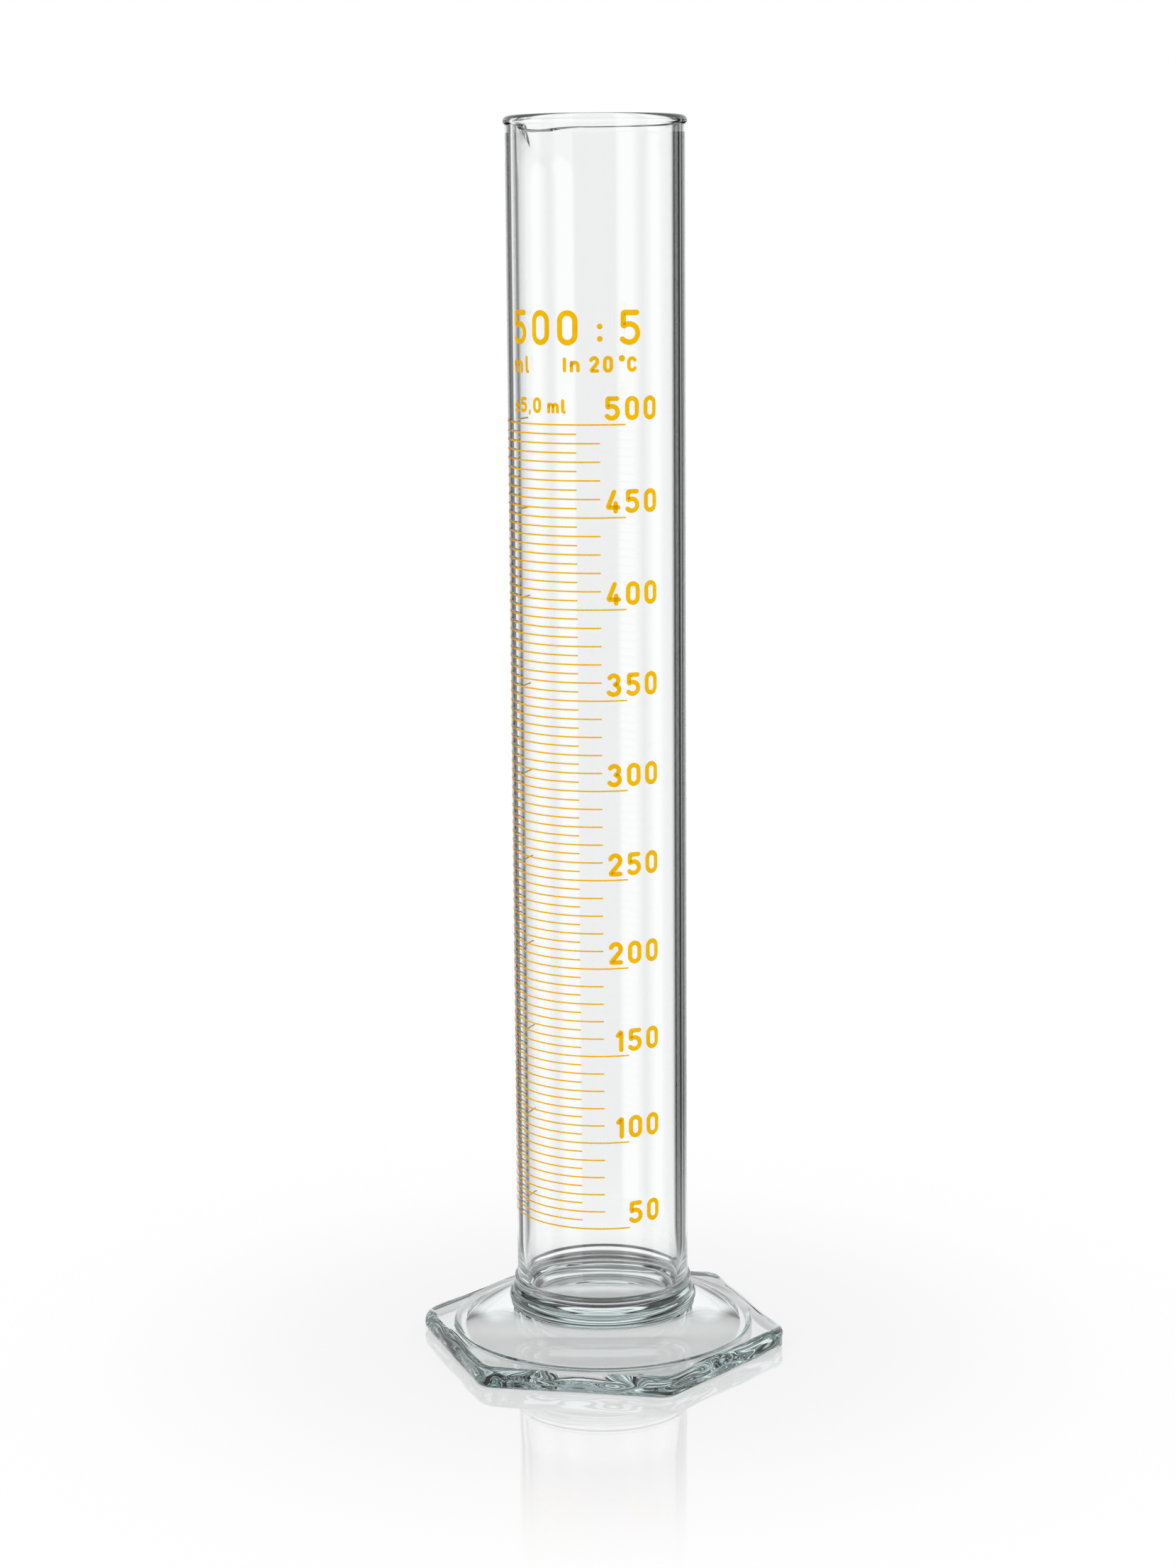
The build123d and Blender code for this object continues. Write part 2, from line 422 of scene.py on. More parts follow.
def outer_section():
    """Points of the half section from the step to where the plain tube starts."""
    fillet_centre = (STEP_RADIUS + STEP_FILLET, FOOT_PLATE + STEP_FILLET)
    round_centre = (STEP_RADIUS - STEP_ROUND, STEP_TOP - STEP_ROUND)
    collar_centre = (COLLAR_RADIUS - COLLAR_BEAD_RADIUS, COLLAR_BEAD_HEIGHT)
    ring_centre = (RING_OUTER_RADIUS - RING_RADIUS, RING_HEIGHT)
    shoulder = [(NECK_RADIUS + out, NECK_TOP_HEIGHT + up) for out, up in NECK_SHOULDER]
    points = arc(fillet_centre, STEP_FILLET, -90, -180, steps=4)
    points += arc(round_centre, STEP_ROUND, *STEP_ROUND_ARC, steps=5)
    points += run(points[-1], CONE_END, steps=18)
    points += arc(CONE_FILLET_CENTRE, CONE_FILLET, *CONE_FILLET_ARC, steps=3)
    points += arc(collar_centre, COLLAR_BEAD_RADIUS, *COLLAR_ARC, steps=16)
    points += run(points[-1], shoulder[0], steps=3)
    points += shoulder
    points += run(points[-1], FLARE_TOWARDS, steps=4)
    points += [RING_FOOT]
    points += arc(ring_centre, RING_RADIUS, *RING_ARC, steps=12)
    points += [RING_TAIL, TUBE_START]
    return points


def bore_section():
    """Points of the half section from the straight bore to near the middle of its floor."""
    bore_radius = TUBE_RADIUS - TUBE_WALL
    corner = (bore_radius - BORE_CORNER_RADIUS, BORE_FLOOR_HEIGHT + BORE_CORNER_RADIUS)
    points = arc(corner, BORE_CORNER_RADIUS, 0, -90, steps=16)
    points += run((corner[0], BORE_FLOOR_HEIGHT), (0, BORE_FLOOR_HEIGHT), steps=9)
    return points


# %% [markdown]
# ### The rim
#
# Fire polishing melts the cut edge until it draws itself into a bead. The bead follows the
# outline of the lip, spout included, so its points are set off at right angles to that
# outline and not simply away from the axis.

# %% Rings of the tube, the rim and the bore
TUBE_STEPS = 30
MOUTH_STEPS = 14
BEAD_STEPS = 22


def bead_rings():
    """Rings over the rim's bead, from its outer foot to the bore's edge."""
    inset = RIM_BEAD_RADIUS - RIM_BEAD_PROUD
    angles = directions(0, 1)
    centres = []
    for angle in angles:
        distance = mouth_distance(angle, 1.0, inset)
        centres.append(Vector((distance * cos(angle), distance * sin(angle))))
    rings = []
    outer_foot = -acos(inset / RIM_BEAD_RADIUS)
    inner_foot = pi - acos((TUBE_WALL - inset) / RIM_BEAD_RADIUS)
    for step in range(BEAD_STEPS + 1):
        turn = mix(outer_foot, inner_foot, step / BEAD_STEPS)
        ring = []
        for index, centre in enumerate(centres):
            along = centres[(index + 1) % RING_POINTS] - centres[index - 1]
            outward = Vector((along.y, -along.x)).normalized()
            place = centre + outward * RIM_BEAD_RADIUS * cos(turn)
            height = LIP_HEIGHT + RIM_BEAD_RADIUS * sin(turn) - lip_sag(angles[index], 1.0)
            ring.append((atan2(place.y, place.x), place.length, height))
        rings.append(ring)
    return rings


def mouth_rings(inset):
    """Rings of the flaring top of the tube, from its foot to the lip."""
    base = LIP_HEIGHT - SPOUT_HEIGHT
    rings = []
    for step in range(MOUTH_STEPS):
        level = step / MOUTH_STEPS
        ring = []
        for angle in directions(0, 1):
            height = base + SPOUT_HEIGHT * level - lip_sag(angle, level)
            ring.append((angle, mouth_distance(angle, level, inset), height))
        rings.append(ring)
    return rings


def straight_rings(radius, low, high):
    """Rings of a straight tube, whose points drift from even spacing to the spout's."""
    rings = []
    for step in range(1, TUBE_STEPS):
        share = step / TUBE_STEPS
        height = mix(low, high, share)
        rings.append([(angle, radius, height) for angle in directions(0, smooth_share(share))])
    return rings


# %% [markdown]
# ### One closed skin
#
# All rings are put in the order in which one meets them along the skin. Each point of a
# ring is joined to its neighbour and to the same point of the next ring by a four-sided
# face, and a fan of triangles closes each end. A closed skin matters for glass, because
# the shader has to know where the glass starts and ends.

# %% The glass as one mesh
def glass_rings():
    """All rings of the glass, in order along its skin."""
    base = LIP_HEIGHT - SPOUT_HEIGHT
    bore_radius = TUBE_RADIUS - TUBE_WALL
    even = directions(0, 0)
    outer = outer_section()
    bore = bore_section()
    rings = foot_rings()
    rings += [[(angle, distance, height) for angle in even] for distance, height in outer]
    rings += straight_rings(TUBE_RADIUS, outer[-1][1], base)
    rings += mouth_rings(0.0)
    rings += bead_rings()
    rings += reversed(mouth_rings(TUBE_WALL))
    rings += reversed(straight_rings(bore_radius, bore[0][1], base))
    rings += [[(angle, distance, height) for angle in even] for distance, height in bore]
    return rings


def skin_mesh(name, rings, first_height, last_height):
    """A closed mesh through the rings, with one point to close each end."""
    points = [(0.0, 0.0, first_height * MM)]
    for ring in rings:
        for angle, distance, height in ring:
            points.append((distance * cos(angle) * MM, distance * sin(angle) * MM, height * MM))
    points.append((0.0, 0.0, last_height * MM))
    count = len(rings[0])
    faces = []
    for index in range(count):
        after = (index + 1) % count
        faces.append((0, 1 + after, 1 + index))
        last = 1 + (len(rings) - 1) * count
        faces.append((last + index, last + after, len(points) - 1))
    for row in range(len(rings) - 1):
        start = 1 + row * count
        for index in range(count):
            after = (index + 1) % count
            faces.append((start + index, start + after, start + count + after,
                          start + count + index))
    mesh = bpy.data.meshes.new(name)
    mesh.from_pydata(points, [], faces)
    mesh.validate()
    mesh.polygons.foreach_set("use_smooth", [True] * len(mesh.polygons))
    mesh.update()
    return mesh


def add_piece(name, mesh, material):
    """An object for a mesh, riding on the part's one body."""
    piece = bpy.data.objects.new(name, mesh)
    bpy.context.scene.collection.objects.link(piece)
    mesh.materials.append(material)
    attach(piece, "root")
    return piece


# %% [markdown]
# ## Clear glass
#
# Glass is a surface that bends light and a body that colours it. The surface is the
# Principled shader with full transmission. The body is a volume that absorbs mostly red,
# so the thick glass of the foot turns a cool teal while the thin wall stays almost clear.

# %% The glass material
GLASS_IOR = 1.473
GLASS_DEPTH_COLOUR = (0.20, 0.64, 0.62, 1.0)
GLASS_DEPTH_DENSITY = 4.5


def make_glass():
    """Borosilicate glass with a faint tint that shows only where it is thick."""
    material = bpy.data.materials.new("clear_glass")
    material.use_nodes = True
    nodes = material.node_tree.nodes
    links = material.node_tree.links
    shader = nodes["Principled BSDF"]
    shader.inputs["Base Color"].default_value = (1.0, 1.0, 1.0, 1.0)
    shader.inputs["Roughness"].default_value = 0.0
    shader.inputs["IOR"].default_value = GLASS_IOR
    shader.inputs["Transmission Weight"].default_value = 1.0
    depth = nodes.new("ShaderNodeVolumeAbsorption")
    depth.inputs["Color"].default_value = GLASS_DEPTH_COLOUR
    depth.inputs["Density"].default_value = GLASS_DEPTH_DENSITY
    links.new(depth.outputs["Volume"], nodes["Material Output"].inputs["Volume"])
    return material


glass = make_glass()
rings = glass_rings()
skin = skin_mesh("cylinder_glass", rings, HOLLOW_DEPTH, BORE_FLOOR_HEIGHT)
cylinder = add_piece("cylinder_glass", skin, glass)
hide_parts("glass_body")
print("glass", len(skin.vertices), "points in", len(rings), "rings")

# %% [markdown]
# ## Enamel
#
# The scale is printed with an amber enamel and fired. Light from behind gets through some
# of it, which is a share of transmission here. Its index of refraction is kept close to
# that of air, so that it hardly bends that light and shines only faintly. A fired print is
# never quite even, so a large noise blends a bright amber with a deeper one, and a fine
# noise roughens it very slightly.

# %% The enamel material
ENAMEL_BRIGHT = (0.98, 0.50, 0.0, 1.0)
ENAMEL_DEEP = (0.84, 0.34, 0.0, 1.0)
ENAMEL_ROUGHNESS = 0.22
ENAMEL_IOR = 1.05
ENAMEL_THROUGH = 0.4
BLOTCH_SCALE = 420.0
BLOTCH_DETAIL = 3.0
GRAIN_SCALE = 5200.0
GRAIN_STRENGTH = 0.25
GRAIN_DEPTH = 0.00002


def make_enamel():
    """Amber enamel with soft blotches of colour and a faint unevenness."""
    material = bpy.data.materials.new("amber_enamel")
    material.use_nodes = True
    nodes = material.node_tree.nodes
    links = material.node_tree.links
    shader = nodes["Principled BSDF"]
    coordinates = nodes.new("ShaderNodeTexCoord")
    blotches = nodes.new("ShaderNodeTexNoise")
    blotches.inputs["Scale"].default_value = BLOTCH_SCALE
    blotches.inputs["Detail"].default_value = BLOTCH_DETAIL
    links.new(coordinates.outputs["Object"], blotches.inputs["Vector"])
    colour = nodes.new("ShaderNodeMix")
    colour.data_type = "RGBA"
    colour.inputs["A"].default_value = ENAMEL_BRIGHT
    colour.inputs["B"].default_value = ENAMEL_DEEP
    links.new(blotches.outputs["Fac"], colour.inputs["Factor"])
    links.new(colour.outputs["Result"], shader.inputs["Base Color"])
    grain = nodes.new("ShaderNodeTexNoise")
    grain.inputs["Scale"].default_value = GRAIN_SCALE
    links.new(coordinates.outputs["Object"], grain.inputs["Vector"])
    relief = nodes.new("ShaderNodeBump")
    relief.inputs["Strength"].default_value = GRAIN_STRENGTH
    relief.inputs["Distance"].default_value = GRAIN_DEPTH
    links.new(grain.outputs["Fac"], relief.inputs["Height"])
    links.new(relief.outputs["Normal"], shader.inputs["Normal"])
    shader.inputs["Roughness"].default_value = ENAMEL_ROUGHNESS
    shader.inputs["IOR"].default_value = ENAMEL_IOR
    shader.inputs["Transmission Weight"].default_value = ENAMEL_THROUGH
    return material


enamel = make_enamel()
print("enamel with", len(enamel.node_tree.nodes), "nodes")

# %% [markdown]
# ### Strokes of enamel
#
# Every line and figure is a stroke of even width with round ends. A stroke is laid out on
# paper first, with one number along the tube's round and one up its height, and is then
# wrapped round the glass. Across, a stroke is a low pillow: its edges sit in the glass and
# its middle stands about 0.08 mm proud, as fired enamel does. A ring that closes on itself,
# as a nought does, gets no ends, because two layers of enamel would show as a dark spot.

# %% Strokes wrapped round the tube
ENAMEL_HEIGHT = 0.078
# The pillow is (share of the half width, height above the glass), from its edge inwards.
PILLOW = [(1.0, -0.03), (0.93, 0.035), (0.72, 0.065), (0.0, ENAMEL_HEIGHT)]
CAP_STEPS = 6
SAME_PLACE = 0.01


def is_closed(path):
    """Whether a path ends where it starts, as the ring of a nought does."""
    return (Vector(path[0]) - Vector(path[-1])).length < SAME_PLACE


def stroke_normals(path):
    """A sideways direction for each point of a path, which may close on itself."""
    normals = []
    last = len(path) - 1
    closed = is_closed(path)
    for index in range(len(path)):
        before = Vector(path[last - 1 if closed and index == 0 else max(0, index - 1)])
        after = Vector(path[1 if closed and index == last else min(last, index + 1)])
        along = (after - before).normalized()
        normals.append(Vector((-along.y, along.x)))
    return normals


def add_stroke(points, faces, path, width, start_angle):
    """Add one stroke to lists of points and faces. The path is in millimetres."""
    normals = stroke_normals(path)
    half = width / 2
    rows = []

    def lay(place, height):
        """Add a point at a place on the paper, at a height above the glass."""
        angle = start_angle + place.x / TUBE_RADIUS
        distance = TUBE_RADIUS + height
        points.append((distance * cos(angle) * MM, distance * sin(angle) * MM, place.y * MM))
        return len(points) - 1

    def fan(place, first_side, turn):
        """Half of the pillow's section, turned round an end of the stroke."""
        for step in range(1, CAP_STEPS):
            angle = turn * pi * step / CAP_STEPS
            side = Vector((first_side.x * cos(angle) - first_side.y * sin(angle),
                           first_side.x * sin(angle) + first_side.y * cos(angle)))
            yield [lay(place + side * half * out, height) for out, height in PILLOW[:-1]]

    for place, normal in zip(path, normals):
        place = Vector(place)
        left = [lay(place + normal * half * out, height) for out, height in PILLOW[:-1]]
        middle = lay(place, PILLOW[-1][1])
        right = [lay(place - normal * half * out, height) for out, height in PILLOW[:-1]]
        rows.append(left + [middle] + right[::-1])
    for row, after in zip(rows, rows[1:]):
        for index in range(len(row) - 1):
            faces.append((row[index], row[index + 1], after[index + 1], after[index]))
    if is_closed(path):
        return
    count = len(PILLOW) - 1
    for row, normal, place, turn in ((rows[0], normals[0], path[0], 1),
                                     (rows[-1], normals[-1], path[-1], -1)):
        spokes = [row[:count]] + list(fan(Vector(place), normal, turn))
        spokes.append(row[:count:-1])
        for spoke, after in zip(spokes, spokes[1:]):
            for index in range(count - 1):
                corner = (spoke[index], spoke[index + 1], after[index + 1], after[index])
                faces.append(corner if turn < 0 else corner[::-1])
            tip = (spoke[count - 1], row[count], after[count - 1])
            faces.append(tip if turn < 0 else tip[::-1])


# %% [markdown]
# ### One piece from many strokes
#
# All strokes of one kind share one mesh. They are one layer of print, and one object is
# easier to handle than a hundred.

# %% A piece of enamel
def enamel_piece(name, strokes):
    """One piece of enamel from strokes of (path, width, start angle)."""
    points = []
    faces = []
    for path, width, start_angle in strokes:
        add_stroke(points, faces, path, width, start_angle)
    mesh = bpy.data.meshes.new(name)
    mesh.from_pydata(points, [], faces)
    mesh.polygons.foreach_set("use_smooth", [True] * len(mesh.polygons))
    mesh.update()
    piece = add_piece(name, mesh, enamel)
    print(name, len(strokes), "strokes", len(mesh.polygons), "faces")
    return piece


# %% [markdown]
# ### The lines
#
# The lines of a measuring cylinder are evenly spaced, because the bore is a true cylinder.
# Here they are 5 ml apart. Every second one is longer and every tenth longest. All of them
# share one middle, at the left of the figures. Their first and last heights are read from
# the frame. The lines of the solid model are 0.5 mm wide, and the print is a little
# narrower. Its pillow is fuller at the flanks than the low ridge of the solid, and no
# higher.

# %% Scale lines
LINE_WIDTH = 0.5
LINE_PRINT = 0.46
LINE_COUNT = 91
LINE_STEPS_PER_DEGREE = 1.2
MEDIUM_EVERY = 2
LONG_EVERY = 10
SHORT_HALF_SPAN = 38.5
MEDIUM_HALF_SPAN = 53.5
LONG_HALF_SPAN = 70.0
FIRST_LINE = lines_low.z / MM + LINE_WIDTH / 2
LAST_LINE = lines_high.z / MM - LINE_WIDTH / 2


def line_height(index):
    """Height of a line, counted from the lowest."""
    return mix(FIRST_LINE, LAST_LINE, index / (LINE_COUNT - 1))


def scale_strokes():
    """Every line of the scale as a stroke."""
    strokes = []
    for index in range(LINE_COUNT):
        half_span = SHORT_HALF_SPAN
        if index % MEDIUM_EVERY == 0:
            half_span = MEDIUM_HALF_SPAN
        if index % LONG_EVERY == 0:
            half_span = LONG_HALF_SPAN
        half_length = radians(half_span) * TUBE_RADIUS - LINE_PRINT / 2
        steps = int(half_span * LINE_STEPS_PER_DEGREE)
        path = [(half_length * (2 * step / steps - 1), line_height(index))
                for step in range(steps + 1)]
        strokes.append((path, LINE_PRINT, SCALE_DIRECTION))
    return strokes


lines = enamel_piece("scale_lines_enamel", scale_strokes())
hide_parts("scale_lines")

# %% [markdown]
# ### The figures
#
# The figures are drawn with a round pen of one width, as technical lettering is. Each
# figure is a path of straight runs and parts of ellipses inside a box, and the pen's width
# is taken off the box so that the outside size comes out right. A dot is a run so short
# that only its round ends show.

# %% Paths of the figures
DOT_LENGTH = 0.02


def oval(centre_x, centre_y, radius_x, radius_y, start, end, steps=12):
    """Part of an ellipse, from one angle in degrees to another."""
    return [(centre_x + radius_x * cos(radians(mix(start, end, step / steps))),
             centre_y + radius_y * sin(radians(mix(start, end, step / steps))))
            for step in range(steps + 1)]


def figure_paths(figure, w, h):
    """The pen's paths for one figure in a box w wide and h high."""
    r = w / 2
    if figure == "0":
        ring = [(w, h / 2)] + oval(r, h - r, r, r, 0, 180) + oval(r, r, r, r, 180, 360)
        return [ring + [(w, h / 2)]]
    if figure == "1":
        return [[(0, 0.78 * h), (w, h), (w, 0)]]
    if figure == "2":
        return [oval(r, 0.72 * h, r, 0.28 * h, 160, -32) + [(0, 0), (w, 0)]]
    if figure == "3":
        upper = oval(0.46 * w, 0.76 * h, 0.46 * w, 0.24 * h, 150, -75)
        lower = oval(0.44 * w, 0.265 * h, 0.56 * w, 0.265 * h, 78, -145)
        return [upper + lower]
    if figure == "4":
        return [[(0.6 * w, h), (0, 0.2 * h), (w, 0.2 * h)], [(0.75 * w, 0.4 * h), (0.75 * w, 0)]]
    if figure == "5":
        bowl = oval(0.42 * w, 0.31 * h, 0.58 * w, 0.31 * h, 132, -140, 16)
        return [[(0.94 * w, h), (0.04 * w, h)] + bowl]
    if figure == "C":
        return [oval(r, h - r, r, r, 25, 180) + oval(r, r, r, r, 180, 335)]
    if figure == "I":
        return [[(0, h), (0, 0)]]
    if figure == "l":
        return [[(0, h)] + oval(w, w, w, w, 180, 270, 6)]
    if figure == "n":
        return [[(0, h), (0, 0)], oval(r, h - r, r, r, 170, 0) + [(w, 0)]]
    if figure == "m":
        q = w / 4
        return [[(0, h), (0, 0)], oval(q, h - q, q, q, 170, 0) + [(2 * q, 0)],
                oval(3 * q, h - q, q, q, 170, 0) + [(w, 0)]]
    if figure == ",":
        return [[(w, h), (0, 0)]]
    if figure == "+-":
        return [[(0, 0.6 * h), (w, 0.6 * h)], [(r, h), (r, 0.24 * h)], [(0, 0), (w, 0)]]
    return [[(0, 0), (DOT_LENGTH, 0)]]


# %% [markdown]
# ### From path to stroke
#
# A round pen and soft enamel leave no sharp corner. So each corner is cut off, and the two
# new corners are cut again, which is close to a curve. Long runs are then divided, because
# a stroke has to bend round the tube, and points that nearly coincide are dropped.

# %% Rounded paths
CORNER_CUTS = 2
CUT_SHARE = 0.25
CUT_LENGTH = 0.18
LONGEST_RUN = 0.7
SHORTEST_RUN = 0.008
TINY = 0.001
FRONT = radians(-90.0)


def softened(path):
    """A path with its sharp corners rounded off and long runs divided."""
    places = [Vector(place) for place in path]
    for _ in range(CORNER_CUTS):
        cut = [places[0]]
        for place, after in zip(places, places[1:]):
            share = min(CUT_SHARE, CUT_LENGTH / max((after - place).length, TINY))
            cut += [place.lerp(after, share), place.lerp(after, 1 - share)]
        places = cut + [places[-1]]
    divided = [places[0]]
    for place, after in zip(places, places[1:]):
        parts = max(1, int((after - place).length / LONGEST_RUN))
        divided += [place.lerp(after, part / parts) for part in range(1, parts + 1)]
    kept = [divided[0]]
    for place in divided[1:]:
        if (place - kept[-1]).length > SHORTEST_RUN:
            kept.append(place)
    return [tuple(place) for place in kept]


def figure_strokes(figure, left, base, width, height, pen):
    """Strokes of one figure: its left side in degrees from the front, its base in height."""
    strokes = []
    inner_width = max(width - pen, DOT_LENGTH)
    inner_height = max(height - pen, DOT_LENGTH)
    for path in figure_paths(figure, inner_width, inner_height):
        moved = [(x + pen / 2, y + pen / 2 + base) for x, y in softened(path)]
        strokes.append((moved, pen, FRONT + radians(left)))
    return strokes


# %% [markdown]
# ### The numbers
#
# Each long line has its volume beside it. The numbers all end at the same place and stand
# just above their line, so they are laid out from right to left. The figure 1 is narrower
# than the others.

# %% Figures beside the long lines
FIRST_LINE_ML = 50
LINE_STEP_ML = 5
FIGURE_HEIGHT = 7.0
FIGURE_WIDTH = 4.4
FIGURE_ONE_WIDTH = 2.4
FIGURE_GAP = 1.55
FIGURE_PEN = 1.36
FIGURE_RIGHT = 40.4
FIGURE_RAISE = 1.2


def number_strokes(number, line_index):
    """A number that ends at the same place as all others, just above its line."""
    strokes = []
    right = radians(FIGURE_RIGHT) * TUBE_RADIUS
    base = line_height(line_index) + FIGURE_RAISE
    for figure in reversed(str(number)):
        width = FIGURE_ONE_WIDTH if figure == "1" else FIGURE_WIDTH
        left = (right - width) / TUBE_RADIUS * 180 / pi
        strokes += figure_strokes(figure, left, base, width, FIGURE_HEIGHT, FIGURE_PEN)
        right -= width + FIGURE_GAP
    return strokes


numbers = []
for index in range(0, LINE_COUNT, LONG_EVERY):
    numbers += number_strokes(FIRST_LINE_ML + LINE_STEP_ML * index, index)
enamel_piece("scale_numbers", numbers)

# %% [markdown]
# ### The heading
#
# Above the scale stand the full capacity and the step, the unit, the temperature at which
# it holds that much, and the allowed error. Each entry gives the figure, its left side in
# degrees from the front, its base, its width, its height and the pen.

# %% Heading of the scale
CAPACITY_BASE = 309.2
UNIT_BASE = 301.0
NOTE_BASE = 301.5
TEMPERATURE_BASE = 301.4
ERROR_BASE = 289.6
CAPACITY_PEN = 1.6
NOTE_PEN = 1.05
ERROR_PEN = 1.0
HEADING = [
    ("5", -63.6, CAPACITY_BASE, 6.2, 10.1, CAPACITY_PEN),
    ("0", -44.6, CAPACITY_BASE, 6.3, 10.1, CAPACITY_PEN),
    ("0", -25.3, CAPACITY_BASE, 6.3, 10.1, CAPACITY_PEN),
    (".", 0.4, 310.25, 1.65, 1.65, 1.65),
    (".", 0.4, 313.8, 1.65, 1.65, 1.65),
    ("5", 15.1, CAPACITY_BASE, 6.3, 10.1, CAPACITY_PEN),
    ("m", -64.2, UNIT_BASE, 4.6, 3.7, NOTE_PEN),
    ("l", -51.4, UNIT_BASE, 1.6, 5.1, NOTE_PEN),
    ("I", -21.6, NOTE_BASE, 0.95, 4.3, NOTE_PEN),
    ("n", -17.0, NOTE_BASE, 3.0, 3.4, NOTE_PEN),
    ("2", -4.6, TEMPERATURE_BASE, 2.95, 4.8, NOTE_PEN),
    ("0", 4.1, TEMPERATURE_BASE, 2.95, 4.8, NOTE_PEN),
    (".", 14.1, 304.5, 1.9, 1.9, 1.9),
    ("C", 19.6, NOTE_BASE, 3.1, 4.5, NOTE_PEN),
    ("+-", -64.4, ERROR_BASE, 2.6, 3.6, 0.92),
    ("5", -56.9, ERROR_BASE, 3.1, 4.5, ERROR_PEN),
    (",", -48.6, 289.0, 0.95, 1.5, 0.75),
    ("0", -44.4, ERROR_BASE, 3.1, 4.6, ERROR_PEN),
    ("m", -32.9, ERROR_BASE, 3.9, 3.1, ERROR_PEN),
    ("l", -23.0, ERROR_BASE, 1.5, 4.2, ERROR_PEN),
]
heading = []
for figure, left, base, width, height, pen in HEADING:
    heading += figure_strokes(figure, left, base, width, height, pen)
enamel_piece("scale_heading", heading)

# %% [markdown]
# ## The studio
#
# Glass in front of a plain white world would vanish. In a studio it stands before a white
# panel with darkness on both sides, and its edges, which bend light in from the side, turn
# dark. Here the world has white panels all round, with dark gaps between them, so the
# glass has dark edges from every side. The camera itself sees only white. The panels that
# the front view shows were chosen by comparing renders with the photograph. Those to the
# sides and behind are wide enough to keep the tube clear from other sides too.

# %% [markdown]
# ### Small helpers for nodes
#
# A world or a material is a tree of nodes. Each helper adds one node, joins it to what
# feeds it and hands back its output, so a formula reads almost as it would on paper.

# %% Nodes for numbers
def math_node(tree, operation, *values):
    """A math node fed with sockets or numbers. Returns its output."""
    node = tree.nodes.new("ShaderNodeMath")
    node.operation = operation
    for socket, value in zip(node.inputs, values):
        if isinstance(value, (int, float)):
            socket.default_value = value
        else:
            tree.links.new(value, socket)
    return node.outputs[0]


def ramp_node(tree, value, start, end, low=0.0, high=1.0):
    """A smooth change from low to high while a value goes from start to end."""
    node = tree.nodes.new("ShaderNodeMapRange")
    node.interpolation_type = "SMOOTHSTEP"
    for name, number in (("From Min", start), ("From Max", end), ("To Min", low),
                         ("To Max", high)):
        node.inputs[name].default_value = number
    tree.links.new(value, node.inputs["Value"])
    return node.outputs[0]


def blend_node(tree, factor, a, b):
    """A number between two others, which may be sockets."""
    node = tree.nodes.new("ShaderNodeMix")
    node.data_type = "FLOAT"
    for name, value in (("Factor", factor), ("A", a), ("B", b)):
        if isinstance(value, (int, float)):
            node.inputs[name].default_value = value
        else:
            tree.links.new(value, node.inputs[name])
    return node.outputs["Result"]


# %% [markdown]
# ### The panels
#
# A panel is a stretch of the horizon with soft edges. How far a direction lies from the
# middle of a panel decides how bright it is there, and the brightest panel counts.

# %% Panels round the horizon
# Each panel is (middle, half width, soft edge, level), the first three in degrees.
# The view into the photograph is at 90.
PANELS = [(90.0, 14.5, 2.5, 1.0), (135.0, 10.0, 2.5, 1.0), (59.0, 3.0, 1.0, 0.4),
          (178.0, 16.0, 3.0, 1.0), (2.0, 16.0, 3.0, 1.0), (-133.0, 14.0, 2.5, 0.9),
          (-46.0, 14.0, 2.5, 0.9)]
DARK_LEVEL = 0.01


def panel_level(tree, azimuth, panels):
    """Brightness at an azimuth: a panel's own level on it, nearly black between panels."""
    total = 0.0
    for middle, half, edge, level in panels:
        turn = math_node(tree, "SUBTRACT", azimuth, radians(middle))
        off = math_node(tree, "ABSOLUTE", math_node(tree, "WRAP", turn, pi, -pi))
        panel = ramp_node(tree, off, radians(half + edge), radians(half - edge), 0.0, level)
        total = math_node(tree, "MAXIMUM", total, panel)
    return math_node(tree, "MAXIMUM", total, DARK_LEVEL)


def azimuth_of(tree, vector):
    """The direction of a vector round the vertical axis, and its upward part."""
    split = tree.nodes.new("ShaderNodeSeparateXYZ")
    tree.links.new(vector, split.inputs[0])
    return math_node(tree, "ARCTAN2", split.outputs["Y"], split.outputs["X"]), split.outputs["Z"]


# %% [markdown]
# ### Above the panels
#
# Upward here is the sine of the angle above the horizon. The panels fade out between about
# 20 and 27 degrees. Above them the room is dark, but for a dim ceiling light that fills
# everything steeper than about 38 degrees.
#
# Only glass should see the dark gaps. Light on plain surfaces comes evenly from all sides,
# so a colour renders as it is written, and the table's mirror sees plain white too, or it
# would look grey. A Light Path node tells these kinds of ray apart. A ray counts as one off
# the table if it is mirrored, rises and hasn't been through glass. That is a simple test:
# what the outside of the glass mirrors upwards passes it as well and is white too. Blender
# usually also samples the world as a lamp, which would bring the dark gaps back for plain
# surfaces, so that is switched off.

# %% The world
PANEL_TOP_START = 0.34
PANEL_TOP_END = 0.46
CEILING_LEVEL = 0.01
LAMP_LOW = 0.62
LAMP_EDGE = 0.04
LAMP_LEVEL = 0.3
OUTSIDE_GLASS = 0.5
RISING = 0.03


